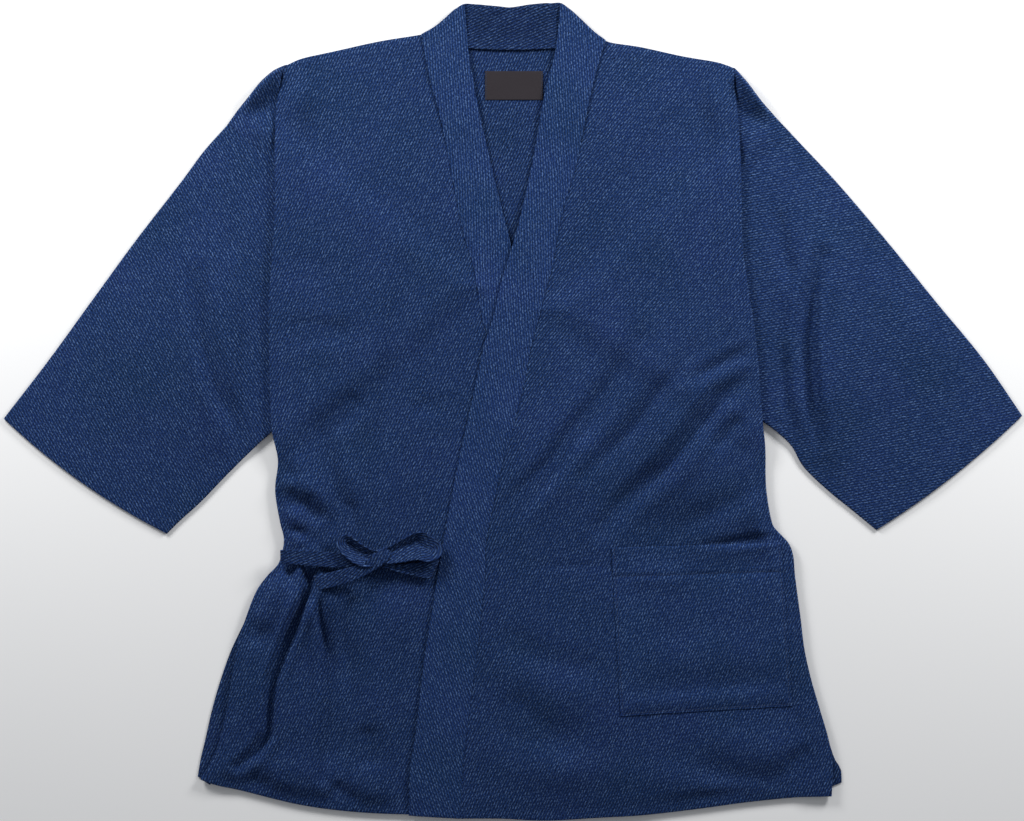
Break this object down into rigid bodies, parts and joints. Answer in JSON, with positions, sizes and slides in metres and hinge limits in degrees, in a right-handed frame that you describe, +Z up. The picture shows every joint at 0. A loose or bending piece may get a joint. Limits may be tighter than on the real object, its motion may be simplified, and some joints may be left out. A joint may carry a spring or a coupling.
{
  "type": "samue jacket",
  "caption": "Japanese work jacket laid flat: wide straight sleeves, a collar band crossed left over right, a side tie in a bow and a patch pocket.",
  "frame": {"origin": "on the surface that the jacket lies on, at the middle of its width across the sleeves and of its length", "axes": "+X to the wearer's left, +Y to the collar, +Z up from the surface through the front"},
  "size_m": [1.0606, 0.851, 0.0155],
  "materials": {
    "cloth": "matte navy cotton, slubbed weave of short pale dashes on slanting ribs",
    "label": "satin woven label, dark brown grey, bare"
  },
  "bodies": {
    "root": {"back": "cloth", "sleeve_right": "cloth", "sleeve_left": "cloth", "collar_stand": "cloth", "label": "label", "front_right": "cloth", "collar_right": "cloth", "front_left": "cloth", "collar_left": "cloth", "pocket": "cloth", "tie_side": "cloth", "tie_front": "cloth", "bow_tail_left": "cloth", "bow_tail_right": "cloth", "bow_loop_left": "cloth", "bow_loop_right": "cloth", "bow_knot": "cloth"}
  },
  "joints": []
}
